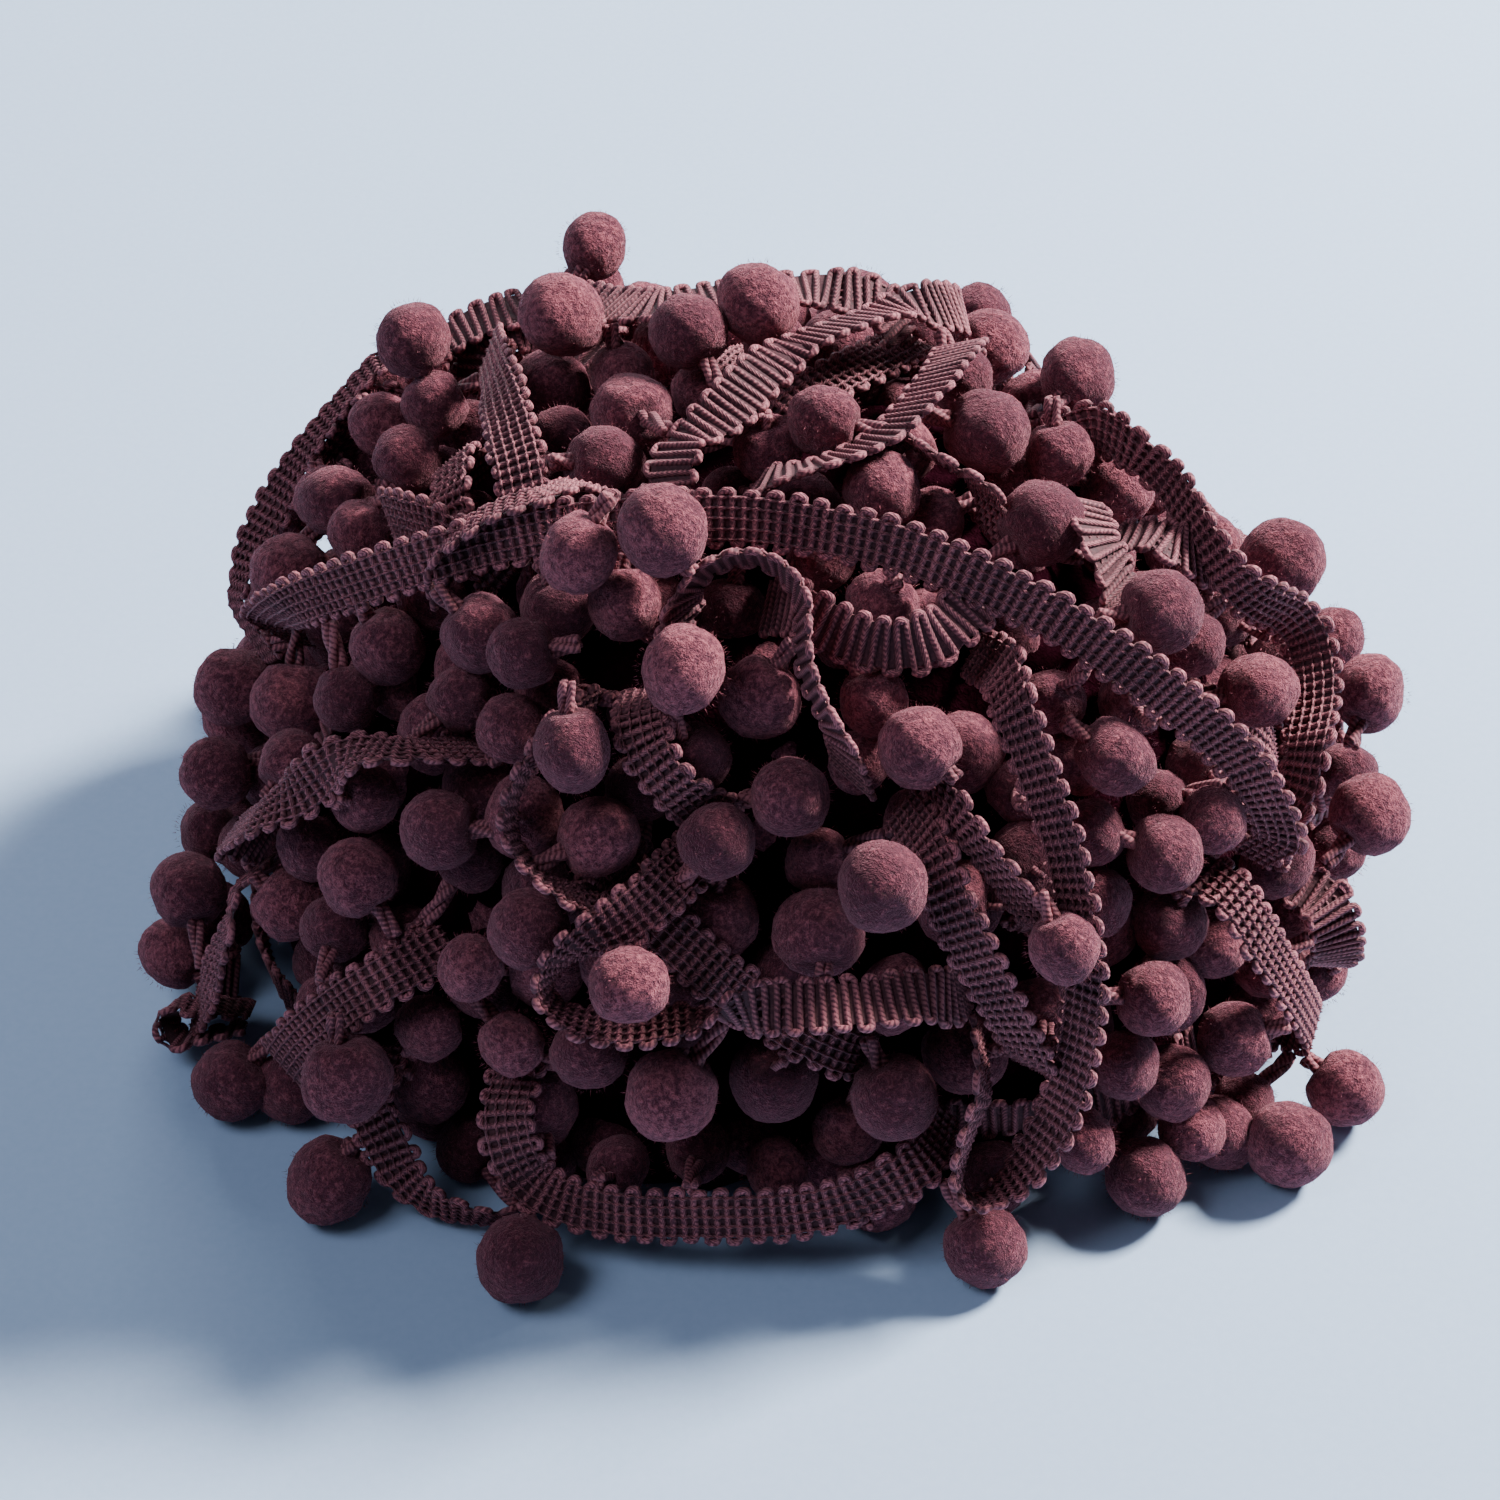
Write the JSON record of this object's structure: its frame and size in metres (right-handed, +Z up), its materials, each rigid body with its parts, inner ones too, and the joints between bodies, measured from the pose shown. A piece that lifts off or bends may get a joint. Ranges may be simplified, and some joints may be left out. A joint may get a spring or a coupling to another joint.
{
  "type": "pompom fringe trim",
  "caption": "Wine red pompom fringe trim, one long woven braid edged with small felted balls, wound and tumbled into a loose dome-shaped heap.",
  "frame": {"origin": "middle of the flat underside that the heap rests on", "axes": "+X the long way across the heap, +Y to its back, +Z up"},
  "size_m": [0.1508, 0.1412, 0.0842],
  "materials": {
    "pompom": "matte",
    "braid": "matte",
    "wound_trim": "matte"
  },
  "bodies": {
    "root": {"braid_back_cross": "braid", "braid_back_drop": "braid", "braid_back_high": "braid", "braid_back_low": "braid", "braid_back_mid": "braid", "braid_back_slant": "braid", "braid_centre_ring": "braid", "braid_centre_tab": "braid", "braid_crown_hook": "braid", "braid_crown_left": "braid", "braid_front_band": "braid", "braid_left_drop": "braid", "braid_left_edge": "braid", "braid_left_foot": "braid", "braid_left_ring": "braid", "braid_left_rise": "braid", "braid_low_band": "braid", "braid_mid_band": "braid", "braid_mid_slant": "braid", "braid_right_foot": "braid", "braid_right_loop": "braid", "braid_right_shoulder": "braid", "braid_top_back": "braid", "braid_top_ridge": "braid", "pompom_back_foot": "pompom", "pompom_back_high": "pompom", "pompom_back_left_foot": "pompom", "pompom_back_left_low": "pompom", "pompom_back_low": "pompom", "pompom_back_right_foot": "pompom", "pompom_back_shoulder": "pompom", "pompom_crown_back": "pompom", "pompom_crown_left": "pompom", "pompom_crown_right": "pompom", "pompom_front_face": "pompom", "pompom_front_left_foot": "pompom", "pompom_front_left_toe": "pompom", "pompom_front_low": "pompom", "pompom_front_right_toe": "pompom", "pompom_front_toe": "pompom", "pompom_left_foot": "pompom", "pompom_left_high": "pompom", "pompom_left_low": "pompom", "pompom_left_mid": "pompom", "pompom_loop_toe": "pompom", "pompom_over_band": "pompom", "pompom_right_foot": "pompom", "pompom_right_low": "pompom", "pompom_right_mid": "pompom", "pompom_right_shoulder": "pompom", "pompom_right_toe": "pompom", "pompom_shoulder_left": "pompom", "wound_heap": "wound_trim"}
  },
  "joints": []
}
